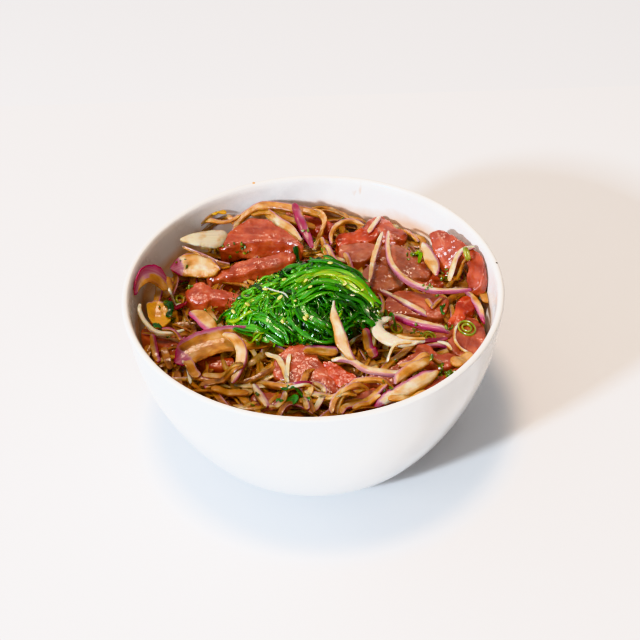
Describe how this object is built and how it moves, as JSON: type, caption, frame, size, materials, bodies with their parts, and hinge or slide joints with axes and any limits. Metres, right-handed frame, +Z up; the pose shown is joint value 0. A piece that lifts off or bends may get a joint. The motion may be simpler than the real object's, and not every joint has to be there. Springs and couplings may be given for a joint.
{
  "type": "poke bowl",
  "caption": "Round white porcelain bowl filled with dressed raw tuna pieces, red onion strips and petals, and a heap of green seaweed salad.",
  "frame": {"origin": "centre of the underside of the bowl's foot, on the surface it stands on", "axes": "+Z up, -Y towards the eater, +X to the eater's right"},
  "size_m": [0.17, 0.17, 0.085],
  "materials": {
    "porcelain": "white glaze, glossy",
    "dressed_shreds": "brown dressed onion shreds, wet",
    "tuna": "raw tuna, wet with dressing",
    "red_onion": "cream onion flesh stained by the dressing, purple skin",
    "seaweed": "bright to dark green wet strands"
  },
  "bodies": {
    "root": {"bowl": "porcelain", "dressed_shreds": "dressed_shreds", "onion_back_arc": "red_onion", "onion_back_bent": "red_onion", "onion_back_cream": "red_onion", "onion_back_left_dark": "red_onion", "onion_back_left_edge": "red_onion", "onion_back_left_wedge": "red_onion", "onion_back_magenta": "red_onion", "onion_back_right_arc": "red_onion", "onion_front_curl": "red_onion", "onion_front_left_bar": "red_onion", "onion_front_left_cross": "red_onion", "onion_front_loop": "red_onion", "onion_front_right_big": "red_onion", "onion_front_right_cream": "red_onion", "onion_front_s": "red_onion", "onion_front_upright": "red_onion", "onion_front_upright_purple": "red_onion", "onion_front_wet": "red_onion", "onion_left_curled": "red_onion", "onion_left_fan": "red_onion", "onion_left_hook": "red_onion", "onion_left_petal": "red_onion", "onion_left_ribbon": "red_onion", "onion_left_yellow": "red_onion", "onion_right_bulb": "red_onion", "onion_right_edge": "red_onion", "onion_right_long_arc": "red_onion", "onion_right_low": "red_onion", "onion_right_magenta": "red_onion", "onion_right_standing": "red_onion", "onion_right_straight": "red_onion", "onion_right_thin": "red_onion", "onion_seaweed_pointed": "red_onion", "seaweed_salad": "seaweed", "tuna_back_dark": "tuna", "tuna_back_left_big": "tuna", "tuna_back_left_long": "tuna", "tuna_back_middle": "tuna", "tuna_back_right": "tuna", "tuna_back_small": "tuna", "tuna_front_left": "tuna", "tuna_front_left_low": "tuna", "tuna_front_long": "tuna", "tuna_front_low": "tuna", "tuna_front_middle": "tuna", "tuna_front_right_rim": "tuna", "tuna_front_right_wet": "tuna", "tuna_front_small": "tuna", "tuna_left_chunk": "tuna", "tuna_left_edge": "tuna", "tuna_right_back_dark": "tuna", "tuna_right_dark": "tuna", "tuna_right_flat": "tuna", "tuna_right_folded": "tuna", "tuna_right_rough": "tuna", "tuna_right_small": "tuna", "tuna_right_striped": "tuna", "tuna_right_upright": "tuna"}
  },
  "joints": []
}
